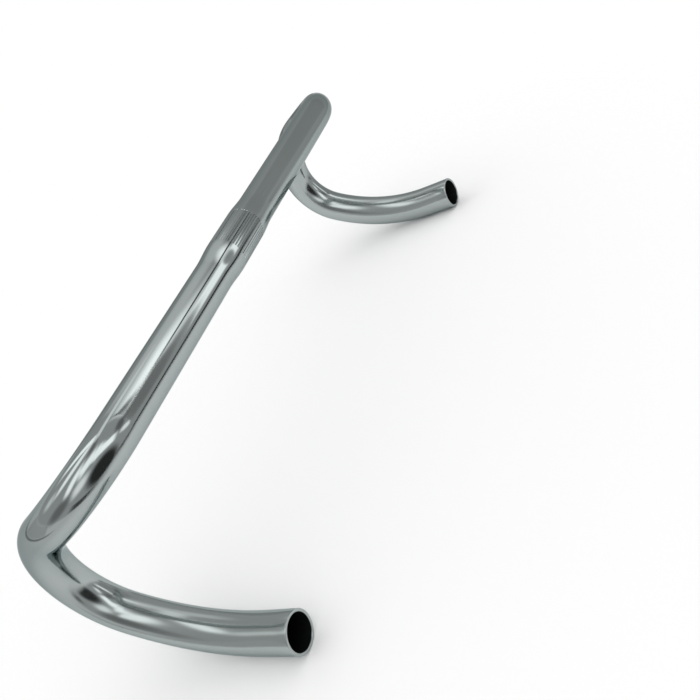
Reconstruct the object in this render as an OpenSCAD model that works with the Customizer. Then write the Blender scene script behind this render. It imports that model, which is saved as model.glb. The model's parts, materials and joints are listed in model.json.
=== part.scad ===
// Drop handlebar for a road bike, bent from one aluminium tube.
// The middle is bulged and knurled for the stem, and both ends are open.
// The origin is the middle of the stem clamp. +X is the rider's right,
// +Y is forward, +Z is up, and the ends of the drops lie level.

/* [Tube] */
// Outside diameter of the tube
tube_d = 23.8; // [22.2:0.1:25.4]
// Wall of the tube
wall = 1.8; // [1.4:0.1:2.6]
// Radius of the rounded lip at each open end
lip_r = 0.5; // [0.2:0.1:0.8]

/* [Stem clamp] */
// Outside diameter where the stem clamps
clamp_d = 26; // [25.4:0.1:31.8]
// Length at the full clamp diameter
clamp_l = 30; // [24:1:60]
// Wall under the stem
clamp_wall = 2.5; // [1.8:0.1:3.4]
// Length of the taper on each side, down to the tube
taper_l = 22; // [10:1:40]

/* [Knurl] */
// Length of the knurled band
knurl_l = 32; // [16:1:60]
// Number of grooves round the band
knurl_n = 48; // [24:1:60]
// Width of a groove at the surface
groove_w = 0.7; // [0.3:0.1:0.9]
// Depth of a groove
groove_depth = 0.3; // [0.1:0.05:0.5]

/* [Tops and shoulders] */
// Width between the centres of the two ends
width_cc = 400; // [360:10:460]
// Radius of the bend from the tops into the ramp
shoulder_r = 48; // [38:1:60]
// Angle of that bend
shoulder_a = 86.5; // [80:0.5:90]
// Slope of the ramp below level
ramp_a = 20; // [0:1:30]
// Straight length of the ramp
ramp_l = 3; // [1:1:30]

/* [Drops] */
// Radius of the hook that the hand fits in
hook_r = 44; // [35:1:60]
// Angle of the hook
hook_a = 123; // [100:1:140]
// Radius of the long bend under the hook
lower_r = 137; // [80:1:200]
// Straight length of each open end
end_l = 22; // [10:1:90]

/* [Hidden] */
$fn = 96;
// facets of the small round lip
lip_fn = 24;
// steps along each taper
taper_steps = 8;
// a cutter reaches this far past what it cuts
past = 1;
// bending draws the tube this much slimmer, on the outside and in the wall
drawn = 0.01;
// each straight stretch runs this far into the bends beside it
lap = 0.1;

tube_r = tube_d / 2;
bore_r = tube_r - wall;
clamp_r = clamp_d / 2;
clamp_bore_r = clamp_r - clamp_wall;
lip = min(lip_r, wall / 2 - 0.1);

// the long bend stops where the end lies level
lower_a = 180 - ramp_a - hook_a;
// how far the open end lies ahead of the shoulder, along the drop's own plane
end_ahead = ramp_l + hook_r * sin(hook_a)
    + lower_r * (sin(hook_a + lower_a) - sin(hook_a))
    + end_l * cos(hook_a + lower_a);
// the straight tops take up what the bends leave of the width
half_tops = width_cc / 2 - shoulder_r * sin(shoulder_a) - end_ahead * cos(shoulder_a);

// radius on the way down a taper, as half a cosine wave, from r0 at t = 0 to r1 at t = 1
function swell(t, r0, r1) = r1 + (r0 - r1) * (1 + cos(180 * t)) / 2;
// one half of a wall of the tops, from the middle out: [radius, distance]
function half_wall(r0, r1) = [
    for (i = [0 : taper_steps])
        [swell(i / taper_steps, r0, r1), clamp_l / 2 + taper_l * i / taper_steps],
    [r1, half_tops + lap]
];
function backwards(points) = [for (i = [len(points) - 1 : -1 : 0]) points[i]];
function mirrored(points) = [for (p = points) [p[0], -p[1]]];

module wall_section(thinner = 0) {
    difference() {
        circle(tube_r - thinner);
        circle(bore_r + thinner);
    }
}

// Each stretch starts at the origin and runs up +Z, and places its children at its far end.
module straight(l) {
    translate([0, 0, -lap]) linear_extrude(l + 2 * lap) wall_section();
    translate([0, 0, l]) children();
}

// A bend turns towards +X
module bend(r, a) {
    translate([r, 0, 0])
        rotate([90, 0, 180])
            rotate_extrude(angle = a)
                translate([r, 0]) wall_section(drawn);
    translate([r * (1 - cos(a)), 0, r * sin(a)])
        rotate([0, a, 0]) children();
}

module open_end(l) {
    rotate_extrude() {
        translate([bore_r, -lap]) square([wall, l - lip + lap]);
        translate([bore_r + lip, 0]) square([wall - 2 * lip, l]);
        for (x = [bore_r + lip, tube_r - lip])
            translate([x, l - lip]) circle(lip, $fn = lip_fn);
    }
}

// Straight tops with the bulge for the stem, turned about the X axis
module tops() {
    outside = half_wall(clamp_r, tube_r);
    inside = half_wall(clamp_bore_r, bore_r);
    rotate([0, 90, 0])
        rotate_extrude()
            polygon(concat(
                backwards(mirrored(outside)), outside,
                backwards(inside), mirrored(inside)));
}

// Fine straight grooves that stop the bar turning in the stem
module knurl() {
    for (i = [0 : knurl_n - 1])
        rotate([360 / knurl_n * i, 0, 0])
            translate([-knurl_l / 2, 0, clamp_r])
                rotate([90, 0, 90])
                    linear_extrude(knurl_l)
                        polygon([
                            [0, -groove_depth],
                            [groove_w / 2 * (1 + past / groove_depth), past],
                            [-groove_w / 2 * (1 + past / groove_depth), past]
                        ]);
}

// Shoulder, ramp, hook, long lower bend and open end of the right side
module drop() {
    translate([half_tops, 0, 0])
        rotate([0, 90, 0])
            rotate([0, 0, 90 - ramp_a])
                bend(shoulder_r, shoulder_a)
                    straight(ramp_l)
                        rotate([0, 0, -90])
                            bend(hook_r, hook_a)
                                straight(0)
                                    bend(lower_r, lower_a)
                                        open_end(end_l);
}

module bar_tube() {
    color([0.74, 0.76, 0.76]) {
        difference() {
            tops();
            knurl();
        }
        drop();
        mirror([1, 0, 0]) drop();
    }
}

bar_tube();
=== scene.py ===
# %% [markdown]
# # A road bike drop handlebar
# The handlebar is one aluminium tube. Its middle is bulged and knurled for the stem, and each side
# runs out along straight tops, round a shoulder, round the hook and back along the drop to an open
# end. The measured model comes first, as a fixed frame. Everything here is in metres, in its frame:
# the origin is the middle of the stem clamp, +X the rider's right, +Y forward and +Z up.

# %% Load the frame
import json
import math
import bpy
from mathutils import Matrix, Vector
from mathutils.kdtree import KDTree


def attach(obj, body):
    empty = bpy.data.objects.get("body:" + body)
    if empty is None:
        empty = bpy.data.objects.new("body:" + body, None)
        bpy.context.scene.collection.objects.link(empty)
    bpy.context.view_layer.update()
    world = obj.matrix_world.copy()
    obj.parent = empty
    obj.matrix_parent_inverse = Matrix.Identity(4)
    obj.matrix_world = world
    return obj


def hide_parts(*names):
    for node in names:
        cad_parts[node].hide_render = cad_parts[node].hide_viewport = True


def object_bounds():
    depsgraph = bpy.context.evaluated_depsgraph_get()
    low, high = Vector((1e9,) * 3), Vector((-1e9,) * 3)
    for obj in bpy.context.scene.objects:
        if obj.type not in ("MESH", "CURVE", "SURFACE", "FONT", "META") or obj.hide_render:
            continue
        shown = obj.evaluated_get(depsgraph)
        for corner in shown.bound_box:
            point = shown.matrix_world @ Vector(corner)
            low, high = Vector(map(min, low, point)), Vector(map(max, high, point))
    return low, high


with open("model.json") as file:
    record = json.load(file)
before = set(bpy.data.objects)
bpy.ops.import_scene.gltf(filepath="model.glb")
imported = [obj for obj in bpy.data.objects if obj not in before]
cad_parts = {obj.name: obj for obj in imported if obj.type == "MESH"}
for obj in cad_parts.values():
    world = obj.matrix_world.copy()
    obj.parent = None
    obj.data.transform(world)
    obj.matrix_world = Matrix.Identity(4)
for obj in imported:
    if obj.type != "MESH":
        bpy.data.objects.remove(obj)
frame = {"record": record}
CAD_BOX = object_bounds()
MM = 0.001
print("CAD box", [[round(value, 4) for value in corner] for corner in CAD_BOX])

# %% [markdown]
# ## Sizes
# The mounts of the record give the radii of the tube, its bore and its clamp, and how long the clamp
# is. The bends are the ones of the measured model, repeated here because a mesh can't be asked for
# the radius that it was bent to. The length of the tops could be typed in as well. It is worked out
# from the width instead, which is how a bar is sold, so the ends come out as far apart as WIDTH says
# whatever the bends are.

# %% Sizes of the tube
MOUNTS = {mount["name"]: mount for mount in frame["record"]["mounts"]}
TUBE_R = MOUNTS["right_end_outside"]["dims"]["r_mm"] * MM
BORE_R = MOUNTS["right_end_bore"]["dims"]["r_mm"] * MM
CLAMP_R = MOUNTS["stem_clamp"]["dims"]["r_mm"] * MM
CLAMP_L = MOUNTS["stem_clamp"]["dims"]["length_mm"] * MM
WIDTH = 400 * MM
SHOULDER_R = 48 * MM
SHOULDER_ANGLE = math.radians(86.5)
RAMP_L = 3 * MM
RAMP_SLOPE = math.radians(20)
HOOK_R = 44 * MM
HOOK_ANGLE = math.radians(123)
LOWER_R = 137 * MM
LOWER_ANGLE = math.pi - RAMP_SLOPE - HOOK_ANGLE
END_L = 22 * MM
DROP_ANGLE = HOOK_ANGLE + LOWER_ANGLE
END_AHEAD = (RAMP_L + HOOK_R * math.sin(HOOK_ANGLE) + END_L * math.cos(DROP_ANGLE)
             + LOWER_R * (math.sin(DROP_ANGLE) - math.sin(HOOK_ANGLE)))
HALF_TOPS = (WIDTH / 2 - SHOULDER_R * math.sin(SHOULDER_ANGLE)
             - END_AHEAD * math.cos(SHOULDER_ANGLE))
print("tops reach", round(HALF_TOPS / MM, 2), "mm from the middle")

# %% [markdown]
# ## Camera
# A drop bar put down on a table rocks forward on the curves of its drops, so its own up leans back.
# The camera looks down on it from beside the left end. It could be given a place and a point to look
# at, but then it would be level with the bar and not with the table. So its matrix is built in the
# table's frame and then leaned with the bar, which keeps the bar upright in its own frame and leaves
# the view as it was.

# %% Camera
ROCK = math.radians(36.72)
TURN = math.radians(19.04)
PITCH = math.radians(51.75)
CLAMP_FROM_CAMERA = Vector((-33.08, 362.01, -280.48)) * MM
FOCAL_PX = 709.18
CENTRE_X_PX = 288.20
CENTRE_Y_PX = 418.01
IMAGE_PX = 700
SENSOR_MM = 36

camera = bpy.data.objects.new("camera", bpy.data.cameras.new("camera"))
bpy.context.collection.objects.link(camera)
camera.data.sensor_width = SENSOR_MM
camera.data.lens = SENSOR_MM * FOCAL_PX / IMAGE_PX
camera.data.shift_x = 0.5 - CENTRE_X_PX / IMAGE_PX
camera.data.shift_y = CENTRE_Y_PX / IMAGE_PX - 0.5
camera.data.clip_start = 10 * MM
camera.matrix_world = (Matrix.Rotation(ROCK, 4, "X") @ Matrix.Rotation(TURN - math.pi / 2, 4, "Z")
                       @ Matrix.Translation(-CLAMP_FROM_CAMERA)
                       @ Matrix.Rotation(math.pi / 2 - PITCH, 4, "X"))
bpy.context.scene.camera = camera
bpy.context.scene.view_settings.view_transform = "Standard"
print("camera at", [round(value, 3) for value in camera.matrix_world.translation])

# %% [markdown]
# ## The tube
# The real bar is a straight tube that is fed through a bender. A curve with a round bevel would draw
# it quickly, but the rings of the mesh have to lie where the knurl and the tapers need them. So a
# ring of vertices is walked along the centre line. A straight stretch is an extrusion and a bend is a
# spin. A small walker keeps the place of the ring, the direction it faces, the side that the next
# bend turns towards and a mark on the tube, and it notes every station that it passes.

# %% The walker
class Walker:
    """Feeds the selected ring of an edit mesh along straights and bends."""

    def __init__(self):
        self.place = Vector((0, 0, 0))
        self.ahead = Vector((1, 0, 0))
        self.inward = Vector((0, math.cos(RAMP_SLOPE), -math.sin(RAMP_SLOPE)))
        self.mark = Vector((0, 0, 1))
        self.radius = CLAMP_R
        self.along = 0
        self.path = [self.station()]

    def station(self):
        return self.place.copy(), self.ahead.copy(), self.mark.copy(), self.along

    def straight(self, length, radius=None):
        """Extrude the ring straight ahead and, if a radius is given, scale it to that."""
        step = self.ahead * length
        bpy.ops.mesh.extrude_region_move(TRANSFORM_OT_translate={"value": step})
        self.place += step
        self.along += length
        self.path.append(self.station())
        if radius:
            bpy.ops.transform.resize(value=[radius / self.radius] * 3, center_override=self.place)
            self.radius = radius

    def bend(self, bend_r, angle, steps):
        """Spin the ring towards the inward side, and turn the walker with it."""
        centre = self.place + self.inward * bend_r
        axis = self.ahead.cross(self.inward)
        bpy.ops.mesh.spin(steps=steps, angle=-angle, center=centre, axis=axis)
        turn = Matrix.Rotation(angle / steps, 3, axis)
        for _ in range(steps):
            self.place = centre + turn @ (self.place - centre)
            self.ahead = turn @ self.ahead
            self.inward = turn @ self.inward
            self.mark = turn @ self.mark
            self.along += bend_r * angle / steps
            self.path.append(self.station())

    def face_down(self):
        """Make the next bend turn downwards, a quarter turn from the last one."""
        self.inward = self.inward.cross(self.ahead)


walker = Walker()
print("the first bend turns towards", [round(value, 3) for value in walker.inward])

# %% [markdown]
# ### The first ring
# Only the right half is fed, and a mirror makes the left one later. It starts from a circle in the
# middle of the clamp. Each groove of the knurl and each land beside it is one strip between two
# vertices of that circle, so the circle has twice as many vertices as there are grooves.

# %% The first ring
GROOVES = 48
AROUND = 2 * GROOVES


def select_none():
    if bpy.context.mode != "OBJECT":
        bpy.ops.object.mode_set(mode="OBJECT")
    bpy.ops.object.select_all(action="DESELECT")


select_none()
bpy.ops.mesh.primitive_circle_add(vertices=AROUND, radius=CLAMP_R, rotation=(0, math.pi / 2, 0))
tube = bpy.context.object
tube.name = "polished_tube"
bpy.ops.object.transform_apply(location=True, rotation=True, scale=True)
bpy.ops.object.mode_set(mode="EDIT")
bpy.ops.mesh.select_all(action="SELECT")
print("vertices in the ring", len(tube.data.vertices))

# %% [markdown]
# ### The clamp, the tapers and the tops
# The middle of the real bar is bulged where the stem grips it, and it narrows gently to the tops. A
# plain cone would do, but polished metal would show a crease at both of its ends. Here each short
# step of the taper is extruded and then scaled to a radius on half a cosine wave, which runs smoothly
# into the straight tube on both sides.

# %% Feed the clamp, the taper and the tops
KNURL_L = 32 * MM
TAPER_L = 22 * MM
TAPER_END = CLAMP_L / 2 + TAPER_L
TAPER_STEPS = 14
TOPS_STEPS = 10


def taper_radius(x):
    """Give the radius of the tube at a distance from the middle of the clamp."""
    share = min(max((x - CLAMP_L / 2) / TAPER_L, 0), 1)
    return TUBE_R + (CLAMP_R - TUBE_R) * (1 + math.cos(math.pi * share)) / 2


walker.straight(KNURL_L / 2, taper_radius(KNURL_L / 2))
for step in range(TAPER_STEPS):
    x = KNURL_L / 2 + (TAPER_END - KNURL_L / 2) * (step + 1) / TAPER_STEPS
    walker.straight(x - walker.place.x, taper_radius(x))
for step in range(TOPS_STEPS):
    walker.straight((HALF_TOPS - TAPER_END) / TOPS_STEPS)
print("fed", round(walker.along / MM, 2), "mm, radius now", round(walker.radius / MM, 2), "mm")

# %% [markdown]
# ### The bends
# The shoulder turns the tube forward and a little down. After the short ramp the bending turns
# downwards, round the tight hook and the long lower bend, until the tube runs level and backwards. A
# tight bend gets more steps for its length than a wide one, so that all of them look round.

# %% Feed the shoulder, the hook and the drop
SHOULDER_STEPS = 40
HOOK_STEPS = 56
LOWER_STEPS = 26

walker.bend(SHOULDER_R, SHOULDER_ANGLE, SHOULDER_STEPS)
walker.straight(RAMP_L)
walker.face_down()
walker.bend(HOOK_R, HOOK_ANGLE, HOOK_STEPS)
walker.bend(LOWER_R, LOWER_ANGLE, LOWER_STEPS)
walker.straight(END_L / 2)
walker.straight(END_L / 2)
END = walker.place.copy()
END_AXIS = walker.ahead.copy()
bpy.ops.object.mode_set(mode="OBJECT")
print("rings", len(walker.path), "end at", [round(value / MM, 2) for value in END])

# %% [markdown]
# ### Both halves and the wall
# The real tube is hollow and open at both ends. The bore could be cut with a second, thinner tube,
# but Solidify does it in one step: it gives the skin its wall, inwards, and closes both lips. Before
# that, the mirror joins both halves, and the ring of edges in the middle is dissolved, so that each
# strip of the middle is one long face for the knurl. An open tube has no clear inside for Blender, so
# the way its faces point is checked on one of them.

# %% Mirror, and give the tube its wall
MERGE = 0.01 * MM


def pick(piece, kind, wanted):
    """Select the faces or edges that a test on them allows, and go to edit mode."""
    select_none()
    piece.select_set(True)
    bpy.context.view_layer.objects.active = piece
    bpy.ops.object.mode_set(mode="EDIT")
    bpy.ops.mesh.select_mode(type=kind)
    bpy.ops.mesh.select_all(action="DESELECT")
    bpy.ops.object.mode_set(mode="OBJECT")
    items = piece.data.polygons if kind == "FACE" else piece.data.edges
    for item in items:
        item.select = wanted(item)
    count = sum(item.select for item in items)
    bpy.ops.object.mode_set(mode="EDIT")
    return count


def apply_modifier(piece, kind, **settings):
    select_none()
    piece.select_set(True)
    bpy.context.view_layer.objects.active = piece
    modifier = piece.modifiers.new(kind.lower(), kind)
    for name, value in settings.items():
        setattr(modifier, name, value)
    bpy.ops.object.modifier_apply(modifier=modifier.name)


def middle_edge(edge):
    return all(abs(tube.data.vertices[index].co.x) < MERGE for index in edge.vertices)


apply_modifier(tube, "MIRROR", merge_threshold=MERGE)
print("edges in the middle ring", pick(tube, "EDGE", middle_edge))
bpy.ops.mesh.dissolve_edges(use_verts=True)
bpy.ops.mesh.select_all(action="SELECT")
bpy.ops.mesh.normals_make_consistent(inside=False)
bpy.ops.object.mode_set(mode="OBJECT")
strip = next(face for face in tube.data.polygons if abs(face.center.x) < MERGE)
if strip.normal.dot(Vector((0, strip.center.y, strip.center.z))) < 0:
    tube.data.flip_normals()
apply_modifier(tube, "SOLIDIFY", thickness=TUBE_R - BORE_R, offset=-1, use_even_offset=True)
print("faces with the wall", len(tube.data.polygons))

# %% [markdown]
# ### The lips
# The cut ends of the real tube are broken with a file and polished. A sharp edge in a mesh catches no
# light at all, so both edges of each lip get a small round bevel, which shows as a thin bright ring.

# %% Round the lips
LIP_R = 0.5 * MM
LIP_SEGMENTS = 5


def lip_edge(edge):
    """Find the edges that run round the end of either side, inside and outside."""
    one, other = (tube.data.vertices[index].co.copy() for index in edge.vertices)
    for point in (one, other):
        point.x = abs(point.x)
        if abs((point - END).dot(END_AXIS)) > MERGE:
            return False
    return abs((one - END).length - (other - END).length) < MERGE


print("lip edges", pick(tube, "EDGE", lip_edge))
bpy.ops.mesh.bevel(offset=LIP_R, segments=LIP_SEGMENTS, affect="EDGES")
bpy.ops.object.mode_set(mode="OBJECT")

# %% [markdown]
# ### The knurl
# The middle carries a band of straight grooves that stops the bar from turning in the stem. A bump in
# the material could draw them, but bump leaves the outline smooth and is lost in a plain mesh. So
# every second strip of the middle is inset on its own and pressed in, which leaves a land between
# each two grooves. Only edges flatter than the angle below are shaded smooth, so the lands stay crisp.

# %% Press the knurl
GROOVE_DEPTH = 0.3 * MM
STRIP_TURN = 2 * math.pi / AROUND
SMOOTH_BELOW = math.radians(30)


def groove_strip(face):
    """Find every second strip of the outer skin in the middle."""
    middle = face.center
    if abs(middle.x) > KNURL_L / 4 or math.hypot(middle.y, middle.z) < (CLAMP_R + BORE_R) / 2:
        return False
    return round(math.atan2(middle.z, middle.y) / STRIP_TURN - 0.5) % 2 == 0


print("grooves", pick(tube, "FACE", groove_strip))
bpy.ops.mesh.inset(thickness=GROOVE_DEPTH, depth=-GROOVE_DEPTH, use_individual=True)
bpy.ops.object.mode_set(mode="OBJECT")
bpy.ops.object.shade_smooth_by_angle(angle=SMOOTH_BELOW)
tube.data.update()
print("faces", len(tube.data.polygons))

# %% [markdown]
# ## Unrolled coordinates
# A tube is drawn and polished along its length, so its faint lines follow every bend. A UV map could
# carry them, but it would have a seam along the tube. So each vertex gets a place on the unrolled
# tube: the distance along it, and the cosine and sine around it, which meet again after a full turn.
# A second attribute marks the bore, which nobody polishes, and whose colour is painted near-black as
# shade.

# %% Unroll the tube
BORE_MARGIN = 0.05 * MM

stations = KDTree(len(walker.path))
for index, station in enumerate(walker.path):
    stations.insert(station[0], index)
stations.balance()
unrolled = []
bore = []
for vertex in tube.data.vertices:
    point = vertex.co.copy()
    side = math.copysign(1, point.x)
    point.x = abs(point.x)
    place, ahead, mark, along = walker.path[stations.find(point)[1]]
    offset = point - place
    ahead_by = offset.dot(ahead)
    spoke = offset - ahead * ahead_by
    turn = math.atan2(spoke.dot(ahead.cross(mark)), spoke.dot(mark))
    unrolled += [side * (along + ahead_by), TUBE_R * math.cos(turn), TUBE_R * math.sin(turn)]
    bore.append(1.0 if spoke.length < BORE_R + BORE_MARGIN else 0.0)
tube.data.attributes.new("unrolled", "FLOAT_VECTOR", "POINT").data.foreach_set("vector", unrolled)
tube.data.attributes.new("bore", "FLOAT", "POINT").data.foreach_set("value", bore)
print("length along the middle", round(2 * walker.along / MM), "mm")

# %% [markdown]
# ## Shader helpers
# A material is a tree of nodes, and wiring it node by node hides what it works out. One small class
# wraps a socket, so that maths on a mask reads like any other maths. One method makes every other
# node, and a few short ones name the nodes that come back often.

# %% Sockets and nodes
class Value:
    """A socket that adds Math nodes when it is used in an expression."""

    def __init__(self, tree, socket):
        self.tree = tree
        self.socket = socket

    def math(self, operation, *values):
        node = self.tree.node("ShaderNodeMath", {"operation": operation}, *values)
        return Value(self.tree, node.outputs[0])

    def __add__(self, other):
        return self.math("ADD", self, other)

    def __mul__(self, other):
        return self.math("MULTIPLY", self, other)

    def __sub__(self, other):
        return self.math("SUBTRACT", self, other)

    def __rsub__(self, other):
        return self.math("SUBTRACT", other, self)

    def __abs__(self):
        return self.math("ABSOLUTE", self)

    __radd__ = __add__
    __rmul__ = __mul__

    def smooth(self, low, high):
        """Rise gently from 0 at low to 1 at high."""
        node = self.tree.node("ShaderNodeMapRange", {"interpolation_type": "SMOOTHSTEP"},
                              self, low, high)
        return Value(self.tree, node.outputs[0])


class Tree:
    """Makes nodes in the node tree of a material or of the world."""

    def __init__(self, owner):
        owner.use_nodes = True
        self.tree = owner.node_tree

    def set(self, socket, value):
        """Link a socket to a value, or write a plain number or colour into it."""
        value = value.socket if isinstance(value, Value) else value
        if isinstance(value, bpy.types.NodeSocket):
            self.tree.links.new(value, socket)
        else:
            socket.default_value = value

    def node(self, kind, settings=None, *values, **named):
        """Make a node, apply its settings, then fill its sockets by order or by name."""
        node = self.tree.nodes.new(kind)
        for name, value in (settings or {}).items():
            setattr(node, name, value)
        for socket, value in zip(node.inputs, values):
            self.set(socket, value)
        for name, value in named.items():
            self.set(node.inputs[name], value)
        return node

    def attribute(self, name):
        return self.node("ShaderNodeAttribute", {"attribute_name": name})

    def object_place(self):
        return self.node("ShaderNodeTexCoord").outputs["Object"]

    def noise(self, vector, scale, detail=2):
        node = self.node("ShaderNodeTexNoise", None, Vector=vector, Scale=scale, Detail=detail)
        return Value(self, node.outputs[0])

    def stretch(self, vector, scale):
        return self.node("ShaderNodeVectorMath", {"operation": "MULTIPLY"}, vector, scale).outputs[0]

    def length(self, vector):
        node = self.node("ShaderNodeVectorMath", {"operation": "LENGTH"}, vector)
        return Value(self, node.outputs["Value"])

    def parts(self, vector):
        """Give the x, y and z of a vector."""
        return [Value(self, part) for part in self.node("ShaderNodeSeparateXYZ", None, vector).outputs]

    def mix_colour(self, factor, one, other):
        """Mix two colours. Sockets 6 and 7 of a Mix node are its colours, and output 2 the result."""
        node = self.node("ShaderNodeMix", {"data_type": "RGBA"}, Factor=factor)
        self.set(node.inputs[6], one)
        self.set(node.inputs[7], other)
        return node.outputs[2]


metal = bpy.data.materials.new("polished_aluminium")
tree = Tree(metal)
print("a new material starts with", [node.name for node in tree.tree.nodes])

# %% [markdown]
# ## Polished aluminium
# The bar is buffed until it reflects like a dull mirror. Buffing leaves lines that run along the
# tube, and skin that was stretched in a bend is a little uneven. A real scratch map could show that,
# but it would be a picture. Noise does it without one: fine noise drawn out along the unrolled tube
# gives the lines, shorter noise gives dimples, and broad noise in the object's own space gives the
# slight clouds. The drops, which tape will cover, are polished less finely than the tops.

# %% Patterns of the metal
LINE_SCALES = (6, 700, 700)
DIMPLE_SCALES = (60, 140, 140)
CLOUD_SCALE = 22.0
DROP_FROM = 0.20
DROP_FULL = 0.34

inside = Value(tree, tree.attribute("bore").outputs["Fac"])
flat_place = tree.attribute("unrolled").outputs["Vector"]
lines = tree.noise(tree.stretch(flat_place, LINE_SCALES), 1.0, detail=3)
clouds = tree.noise(tree.object_place(), CLOUD_SCALE)
dimples = tree.noise(tree.stretch(flat_place, DIMPLE_SCALES), 1.0, detail=1)
lengthwise = tree.parts(flat_place)[0]
drop = abs(lengthwise).smooth(DROP_FROM, DROP_FULL)
print("the drop's finish starts", round(DROP_FROM / MM), "mm along the tube from its middle")

# %% [markdown]
# The colour is a cool grey with hardly any change in it. What makes it metal is the Metallic socket,
# the low roughness and a bump that bends the reflections slightly. The bore is rough, and its
# near-black colour is painted shade for the unlit inside of the tube.

# %% Sockets of the metal
GREY_LOW = (0.385, 0.425, 0.42, 1)
GREY_HIGH = (0.41, 0.45, 0.445, 1)
# painted shade: the bore is coloured near-black for the dark inside of the tube
BORE_PAINTED_SHADE = (0.03, 0.033, 0.033, 1)
EDGE_TINT = (0.55, 0.6, 0.6, 1)
POLISH_ROUGH = 0.05
CLOUD_ROUGH = 0.04
LINE_ROUGH = 0.03
DROP_ROUGH = 0.08
BORE_ROUGH = 0.35
DIMPLE_RELIEF = 0.4
DROP_RELIEF = 1.2
LINE_RELIEF = 0.03
BUMP_STRENGTH = 0.35
BUMP_DEPTH = 0.1 * MM

shader = tree.tree.nodes["Principled BSDF"]
shader.inputs["Metallic"].default_value = 1
shader.inputs["Specular Tint"].default_value = EDGE_TINT
skin = tree.mix_colour(clouds, GREY_LOW, GREY_HIGH)
# the bore mask paints the inside near-black as shade; its extra roughness below is real
tree.set(shader.inputs["Base Color"], tree.mix_colour(inside, skin, BORE_PAINTED_SHADE))
rough = POLISH_ROUGH + CLOUD_ROUGH * clouds + LINE_ROUGH * lines + DROP_ROUGH * drop
tree.set(shader.inputs["Roughness"], rough + BORE_ROUGH * inside)
relief = dimples * (DIMPLE_RELIEF + DROP_RELIEF * drop) + lines * LINE_RELIEF
bump = tree.node("ShaderNodeBump", None, Strength=BUMP_STRENGTH, Distance=BUMP_DEPTH, Height=relief)
tree.set(shader.inputs["Normal"], bump.outputs[0])
tube.data.materials.append(metal)
print("nodes in the metal", len(tree.tree.nodes))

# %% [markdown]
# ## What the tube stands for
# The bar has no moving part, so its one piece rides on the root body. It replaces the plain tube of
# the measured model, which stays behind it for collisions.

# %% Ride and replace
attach(tube, "root")
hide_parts("bar_tube")
print(tube.name, "rides on root and stands for bar_tube")

# %% [markdown]
# ## White sheet and white surroundings
# The bar stands on its drops on a sheet of white paper, and all around is plain white light of
# strength 1, which also lights the paper. More light could wash the background out, but it would wash
# out the metal too. Here it is white by its own colour, and the paper keeps a soft shadow. The paper
# fades out before its edges, which would else show in the metal.

# %% The sheet
FLOOR_Z = CAD_BOX[0][2]
SHEET_MIDDLE_Y = 30 * MM
SHEET_HALF_X = 480 * MM
SHEET_HALF_Y = 360 * MM
FADE_FROM = 0.5


def surface_mix(tree, factor, one, other):
    """Make the surface of a material a mix of two shaders, by a mask."""
    tree.tree.nodes.remove(tree.tree.nodes["Principled BSDF"])
    mix = tree.node("ShaderNodeMixShader", None, factor, one, other)
    tree.set(tree.tree.nodes["Material Output"].inputs["Surface"], mix.outputs[0])


def clear(tree):
    return tree.node("ShaderNodeBsdfTransparent").outputs[0]


select_none()
bpy.ops.mesh.primitive_plane_add(size=2, location=(0, SHEET_MIDDLE_Y, FLOOR_Z))
sheet = bpy.context.object
sheet.name = "white_sheet"
sheet.scale = (SHEET_HALF_X, SHEET_HALF_Y, 1)
paper = bpy.data.materials.new("white_paper")
tree = Tree(paper)
white = tree.node("ShaderNodeBsdfDiffuse", None, (1, 1, 1, 1)).outputs[0]
paper_here = 1 - tree.length(tree.object_place()).smooth(FADE_FROM, 1)
surface_mix(tree, paper_here, clear(tree), white)
sheet.data.materials.append(paper)
print("sheet at z", round(FLOOR_Z / MM, 2), "mm")

# %% [markdown]
# The world could be a picture of a sky, but a plain white one lights the paper evenly from all sides
# and is the white background itself.

# %% The world
world = bpy.data.worlds.new("white_room")
bpy.context.scene.world = world
background = Tree(world).tree.nodes["Background"]
background.inputs["Color"].default_value = (1, 1, 1, 1)
print("world strength", background.inputs["Strength"].default_value)

# %% [markdown]
# ## What the metal shows
# Polished metal shows the room that it stands in, and most of its look is that room. The photographed
# bar shows a grey room with a pale table, some lamps and windows, and something dark behind the
# camera. A picture of a room could be wrapped round the scene, but it can't be changed piece by
# piece. So a grey tent is put up, and bright and dark cards hang in it. Only reflections see them, so
# they neither light the paper nor stand in the way of another camera. The room leans as the camera
# does. The tent comes first, with the table's grey below and the room's grey above.

# %% The tent
TENT_R = 3
TENT_SIDES = 64
TABLE_GREY = 0.76
ROOM_GREY = 0.50
TABLE_TOP = -0.55
ROOM_BOTTOM = -0.35
ROOM = Matrix.Rotation(ROCK, 4, "X")


def only_reflected(thing):
    """Hide a thing from every ray but those that metal sends out."""
    for ray in ("camera", "diffuse", "transmission", "volume_scatter", "shadow"):
        setattr(thing, "visible_" + ray, False)


def glow(tree, strength):
    return tree.node("ShaderNodeEmission", None, Strength=strength).outputs[0]


select_none()
bpy.ops.mesh.primitive_uv_sphere_add(segments=TENT_SIDES, ring_count=TENT_SIDES // 2, radius=TENT_R)
tent = bpy.context.object
tent.name = "grey_tent"
tent.matrix_world = ROOM
tent_cloth = bpy.data.materials.new("tent_cloth")
tree = Tree(tent_cloth)
height = tree.parts(tree.object_place())[2]
above_table = height.smooth(TABLE_TOP, ROOM_BOTTOM)
surface_mix(tree, above_table, glow(tree, TABLE_GREY), glow(tree, ROOM_GREY))
tent.data.materials.append(tent_cloth)
only_reflected(tent)
print("tent faces", len(tent.data.polygons))

# %% [markdown]
# ### Cards in the tent
# Each card is one lamp, window, wall or dark thing. It is placed by the direction in which a stretch
# of the tube looks at it, as angles from the middle of the tent: a straight tube shows a card as a
# line along it, and a bend squeezes the same card to a spot.

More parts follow.
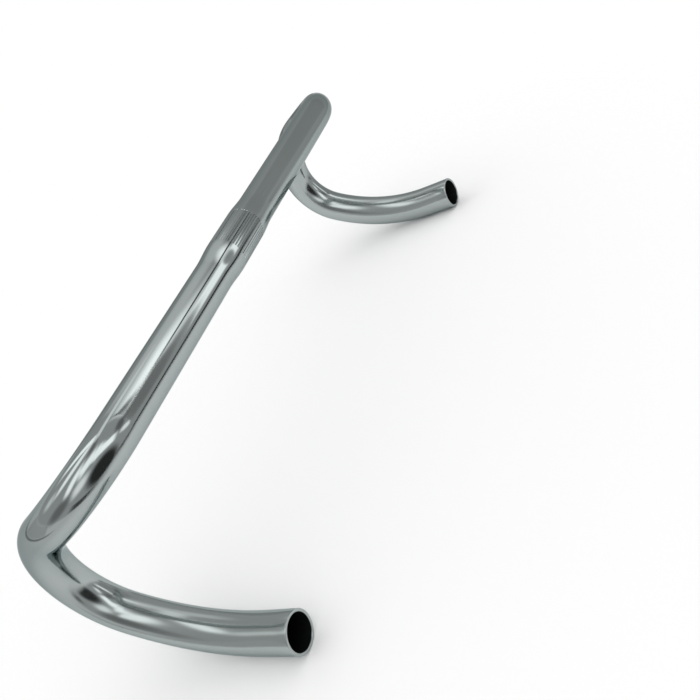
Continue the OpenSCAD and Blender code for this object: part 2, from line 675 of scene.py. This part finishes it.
# %% Where the cards hang
# name, then azimuth, elevation, width, height and roll in degrees, strength, soft share, round or not
CARDS = [
    ("skirting_left", -133, -5, 70, 14, -5, 0.1, 0.45, False),
    ("skirting_middle", -74, 8, 60, 18, -5, 0.08, 0.7, False),
    ("skirting_right", -54, 9, 12, 36, 84, 0.04, 0.6, False),
    ("window_behind", -123, 70, 52, 20, -17, 1.9, 0.55, False),
    ("window_left", -171, 72, 24, 30, -5, 1.8, 0.7, False),
    ("window_corner", 162, 60, 30, 44, 0, 1.8, 0.7, False),
    ("lamp_corner", 152, 39, 20, 56, 40, 1.8, 0.7, True),
    ("lamp_left", -168, 32, 34, 44, -12, 1.4, 0.8, True),
    ("lamp_right", -66, 42, 16, 34, 26, 1.5, 0.7, True),
    ("dark_behind", -121, 26, 58, 70, 31, 0.04, 0.5, True),
    ("strip_front", 6, 58, 66, 26, 0, 2.1, 1.0, False),
    ("strip_edge", -11, 49, 9, 25, 15, 0.05, 0.7, False),
    ("strip_rim", 20, 63, 50, 5, -12, 0.12, 0.8, False),
    ("strip_bend", 66, 45, 41, 14, 37, 1.2, 0.4, False),
    ("strip_side", 90, 28, 12, 58, 10, 1.9, 0.6, False),
    ("window_side", -36, 34, 36, 9, 52, 1.85, 0.55, False),
    ("wall_side", -46, 45, 50, 14, 56, 0.3, 0.5, False),
    ("wall_left", 47, 30, 64, 28, -65, 0.85, 0.7, False),
    ("room_end", -5, 26, 70, 40, 11, 0.4, 0.6, False),
    ("floor_far", 45, -20, 90, 24, 0, 0.42, 0.5, False),
    ("ceiling_dark", -50, 65, 36, 28, 25, 0.2, 0.7, True),
    ("corner_dark", 110, 60, 25, 18, 0, 0.22, 0.8, True),
    ("wall_dark", 169, 8, 38, 50, -25, 0.24, 0.7, True),
    ("lamp_hook", 112, 34, 20, 58, 42, 1.7, 0.6, True),
    ("lamp_low", 120, 8, 26, 22, 0, 1.0, 0.8, True),
    ("table_edge", 135, -31, 90, 5, 0, 0.25, 0.6, False),
    ("wall_front", 135, -19, 90, 22, 0, 0.55, 0.3, False),
]
print("brightest card", max(CARDS, key=lambda row: row[6])[0])

# %% [markdown]
# A lamp could stand in each of these places, but its reflection would have a hard rim, and it would
# light the paper too. A card is a glowing plane instead, which turns see-through over a share of its
# width. Where cards overlap, the nearer one hides the other, and cards at one distance would cut
# through each other. So the dark ones hang nearest, then the brightest, and the rest behind them.

# %% Hang the cards
DARK_UP_TO = 0.3
BRIGHT_FROM = 1.1
DARK_DISTANCE = 2.0
BRIGHT_DISTANCE = 2.4
REST_DISTANCE = 2.7
PLANE_TO_WALL = Matrix(((0, 0, 1, 0), (1, 0, 0, 0), (0, 1, 0, 0), (0, 0, 0, 1)))


def hanging_distance(strength):
    if strength <= DARK_UP_TO:
        return DARK_DISTANCE
    return BRIGHT_DISTANCE if strength >= BRIGHT_FROM else REST_DISTANCE


def card(name, azimuth, elevation, width, height, roll, strength, soft, is_round):
    """Hang one card, turned to the middle of the tent, with a soft edge."""
    distance = hanging_distance(strength)
    half_width, half_height = (distance * math.tan(math.radians(size) / 2) for size in (width, height))
    select_none()
    bpy.ops.mesh.primitive_plane_add(size=2)
    thing = bpy.context.object
    thing.name = name
    thing.matrix_world = (ROOM @ Matrix.Rotation(math.radians(azimuth), 4, "Z")
                          @ Matrix.Rotation(-math.radians(elevation), 4, "Y")
                          @ Matrix.Translation((distance, 0, 0))
                          @ Matrix.Rotation(math.radians(roll), 4, "X")
                          @ PLANE_TO_WALL @ Matrix.Diagonal((half_width, half_height, 1, 1)))
    material = bpy.data.materials.new("card_" + name)
    tree = Tree(material)
    if is_round:
        away = tree.length(tree.object_place())
    else:
        across, up, _ = tree.parts(tree.object_place())
        away = across.math("MAXIMUM", abs(across), abs(up))
    card_here = 1 - away.smooth(1 - soft, 1)
    surface_mix(tree, card_here, clear(tree), glow(tree, strength))
    thing.data.materials.append(material)
    only_reflected(thing)


for row in CARDS:
    card(*row)
print("cards", len(CARDS))
